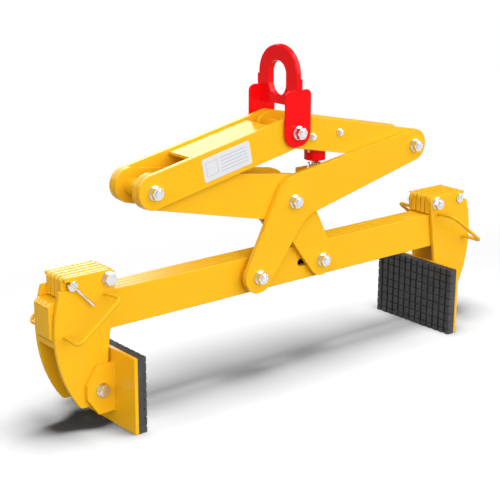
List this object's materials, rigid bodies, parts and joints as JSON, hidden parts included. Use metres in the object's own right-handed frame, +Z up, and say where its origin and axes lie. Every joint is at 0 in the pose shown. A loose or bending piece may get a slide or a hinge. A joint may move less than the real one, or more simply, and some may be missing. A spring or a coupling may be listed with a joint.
{
  "type": "block lifting clamp",
  "caption": "Scissor clamp that hangs from a crane eye and grips a stone or concrete block between rubber-faced tilting pads on sliding jaws.",
  "frame": {"origin": "on the ground under the middle of the clamp, level with the bottoms of the two pads", "axes": "+X along the beam, +Y through the beam away from the rating plate, +Z up to the lifting eye"},
  "size_m": [1.5, 0.3, 0.9005],
  "materials": {
    "yellow_paint": "gloss",
    "red_paint": "gloss",
    "zinc_steel": "bright zinc",
    "rubber": "matt"
  },
  "bodies": {
    "outer_rails": {"outer_rail_front": "yellow_paint", "outer_rail_rear": "yellow_paint", "left_foot_bolt": "zinc_steel", "left_foot_nut_set": "zinc_steel", "left_foot_ring": "yellow_paint"},
    "outer_arm": {"outer_arm_plate": "yellow_paint", "outer_arm_bolts": "zinc_steel", "outer_arm_nut_sets": "zinc_steel", "outer_arm_tubes": "yellow_paint", "latch_pin": "zinc_steel", "latch_bracket": "yellow_paint"},
    "inner_arm": {"inner_arm_front": "yellow_paint", "inner_arm_rear": "yellow_paint", "left_pivot_bolt": "zinc_steel", "left_pivot_nut_set": "zinc_steel", "left_pivot_tube": "yellow_paint"},
    "inner_rails": {"inner_rail_front": "yellow_paint", "inner_rail_rear": "yellow_paint", "right_foot_bolt": "zinc_steel", "right_foot_nut_set": "zinc_steel"},
    "left_link": {"left_link_front": "yellow_paint", "left_link_rear": "yellow_paint", "left_link_cover": "yellow_paint", "top_pivot_bolt": "zinc_steel", "top_pivot_nut_set": "zinc_steel", "top_pivot_tube": "yellow_paint"},
    "right_link": {"right_link_front": "yellow_paint", "right_link_rear": "yellow_paint", "right_link_cover": "yellow_paint", "latch_mount": "yellow_paint", "latch_bolts": "zinc_steel", "latch_nut_sets": "zinc_steel", "latch_housing": "red_paint"},
    "latch_sleeve": {"latch_sleeve": "zinc_steel"},
    "lifting_eye": {"eye_plate": "red_paint", "eye_cheek_front": "red_paint", "eye_cheek_rear": "red_paint"},
    "left_jaw": {"left_side_front": "yellow_paint", "left_side_rear": "yellow_paint", "left_guide_pack": "yellow_paint", "left_cross_bar": "yellow_paint", "left_handles": "yellow_paint", "left_bolts": "zinc_steel", "left_nut_sets": "zinc_steel"},
    "left_lock": {"left_lock_pin": "zinc_steel"},
    "left_pad": {"left_pad_plate": "yellow_paint", "left_pad_lugs": "yellow_paint", "left_pad_rubber": "rubber"},
    "right_jaw": {"right_side_front": "yellow_paint", "right_side_rear": "yellow_paint", "right_guide_pack": "yellow_paint", "right_cross_bar": "yellow_paint", "right_handles": "yellow_paint", "right_bolts": "zinc_steel", "right_nut_sets": "zinc_steel"},
    "right_lock": {"right_lock_pin": "zinc_steel"},
    "right_pad": {"right_pad_plate": "yellow_paint", "right_pad_lugs": "yellow_paint", "right_pad_rubber": "rubber"}
  },
  "joints": [
    {"name": "scissor_close", "type": "hinge", "parent": "outer_rails", "child": "outer_arm", "pos_m": [-0.1205, 0, 0.296], "axis": [0, -1, 0], "range_deg": [0, 9.5]},
    {"name": "centre_pivot", "type": "hinge", "parent": "outer_arm", "child": "inner_arm", "pos_m": [0, 0, 0.486], "axis": [0, 1, 0], "range_deg": [0, 19]},
    {"name": "right_foot_pivot", "type": "hinge", "parent": "inner_arm", "child": "inner_rails", "pos_m": [0.1205, 0, 0.296], "axis": [0, -1, 0], "range_deg": [0, 9.5]},
    {"name": "left_link_pivot", "type": "hinge", "parent": "inner_arm", "child": "left_link", "pos_m": [-0.45836, 0, 0.5805], "axis": [0, -1, 0], "range_deg": [0, 19]},
    {"name": "right_link_pivot", "type": "hinge", "parent": "outer_arm", "child": "right_link", "pos_m": [0.45836, 0, 0.5805], "axis": [0, 1, 0], "range_deg": [0, 19]},
    {"name": "eye_swing", "type": "hinge", "parent": "left_link", "child": "lifting_eye", "pos_m": [0, 0, 0.67501], "axis": [0, 1, 0], "range_deg": [-40, 40]},
    {"name": "latch_turn", "type": "hinge", "parent": "right_link", "child": "latch_sleeve", "pos_m": [0.131, 0, 0.592], "axis": [0, 0, 1], "range_deg": [0, 90]},
    {"name": "left_jaw_slide", "type": "slide", "parent": "outer_rails", "child": "left_jaw", "axis": [1, 0, 0], "range_m": [0, 0.34]},
    {"name": "right_jaw_slide", "type": "slide", "parent": "inner_rails", "child": "right_jaw", "axis": [-1, 0, 0], "range_m": [0, 0.34]},
    {"name": "left_pad_tilt", "type": "hinge", "parent": "left_jaw", "child": "left_pad", "pos_m": [-0.62, 0, 0.101], "axis": [0, 1, 0], "range_deg": [0, 12]},
    {"name": "right_pad_tilt", "type": "hinge", "parent": "right_jaw", "child": "right_pad", "pos_m": [0.62, 0, 0.101], "axis": [0, -1, 0], "range_deg": [0, 12]},
    {"name": "left_lock_turn", "type": "hinge", "parent": "left_jaw", "child": "left_lock", "pos_m": [-0.689, 0, 0.382], "axis": [0, -1, 0], "range_deg": [0, 90]},
    {"name": "right_lock_turn", "type": "hinge", "parent": "right_jaw", "child": "right_lock", "pos_m": [0.689, 0, 0.382], "axis": [0, 1, 0], "range_deg": [0, 90]}
  ],
  "couplings": [
    {"joint": "centre_pivot", "follows": "scissor_close", "ratio": 2},
    {"joint": "right_foot_pivot", "follows": "scissor_close", "ratio": 1},
    {"joint": "left_link_pivot", "follows": "scissor_close", "ratio": 2},
    {"joint": "right_link_pivot", "follows": "scissor_close", "ratio": 2}
  ]
}
